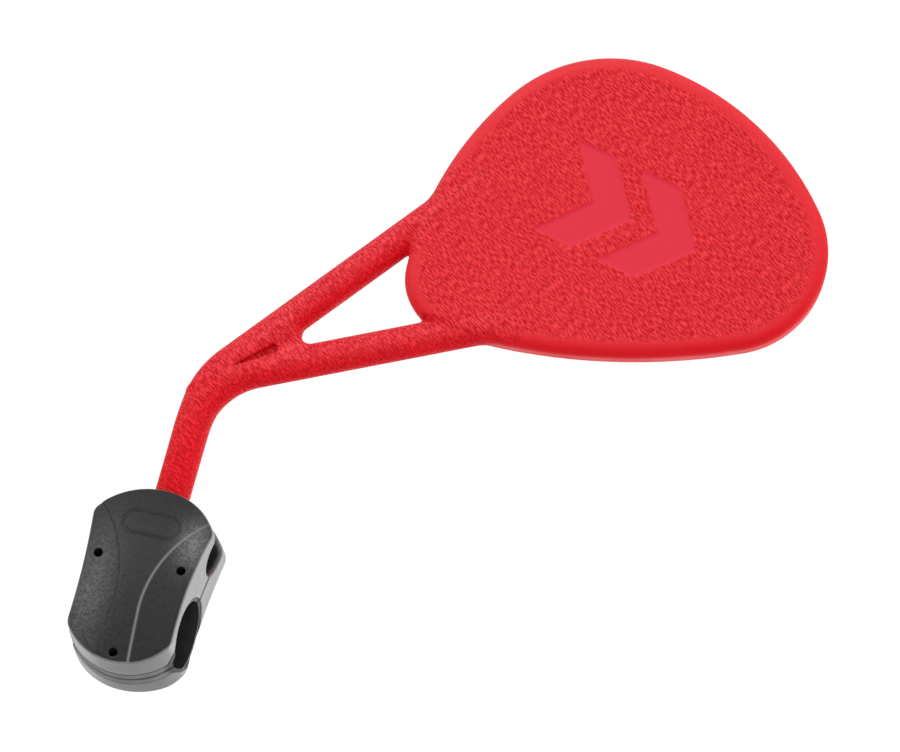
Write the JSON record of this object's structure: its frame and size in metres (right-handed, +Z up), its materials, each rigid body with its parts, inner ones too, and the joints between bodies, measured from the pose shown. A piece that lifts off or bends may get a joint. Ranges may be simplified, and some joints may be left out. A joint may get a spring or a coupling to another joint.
{
  "type": "folding handlebar mirror",
  "caption": "Handlebar rear-view mirror: egg-shaped one-piece head and forked arm with a ball foot, held in a two-shell clamp for a round bar.",
  "frame": {"origin": "centre of the handlebar bore, halfway between the clamp's two sides", "axes": "+X along the bar to the rider's right, +Y forwards out of the front shell, +Z up the clamp; the glass faces the rider, towards -Y"},
  "size_m": [0.2151, 0.072, 0.2319],
  "materials": {
    "clamp_plastic": "fine matt grain, smooth side walls",
    "sleeve_plastic": "smooth",
    "screw_steel": "zinc plated",
    "cup_plastic": "dark, smooth",
    "red_plastic": "fine wrinkled grain, smooth sunken mark",
    "pad_foam": "closed-cell adhesive foam",
    "mirror_glass": "silvered"
  },
  "bodies": {
    "clamp": {"front_shell": "clamp_plastic", "rear_shell": "clamp_plastic", "bar_sleeve_front": "sleeve_plastic", "bar_sleeve_rear": "sleeve_plastic", "clamp_screws": "screw_steel"},
    "ball_seat": {"ball_cup_front": "cup_plastic", "ball_cup_rear": "cup_plastic"},
    "mirror": {"mirror_body": "red_plastic", "glass_pad": "pad_foam", "mirror_glass": "mirror_glass"}
  },
  "joints": [
    {"name": "arm_fold", "type": "hinge", "parent": "clamp", "child": "ball_seat", "pos_m": [0, -0.002, 0.0265], "axis": [0, 1, 0], "range_deg": [-85, 90]},
    {"name": "stem_spin", "type": "hinge", "parent": "ball_seat", "child": "mirror", "pos_m": [0, -0.002, 0.0265], "axis": [-0.0421, 0.2588, 0.965], "continuous": true}
  ]
}
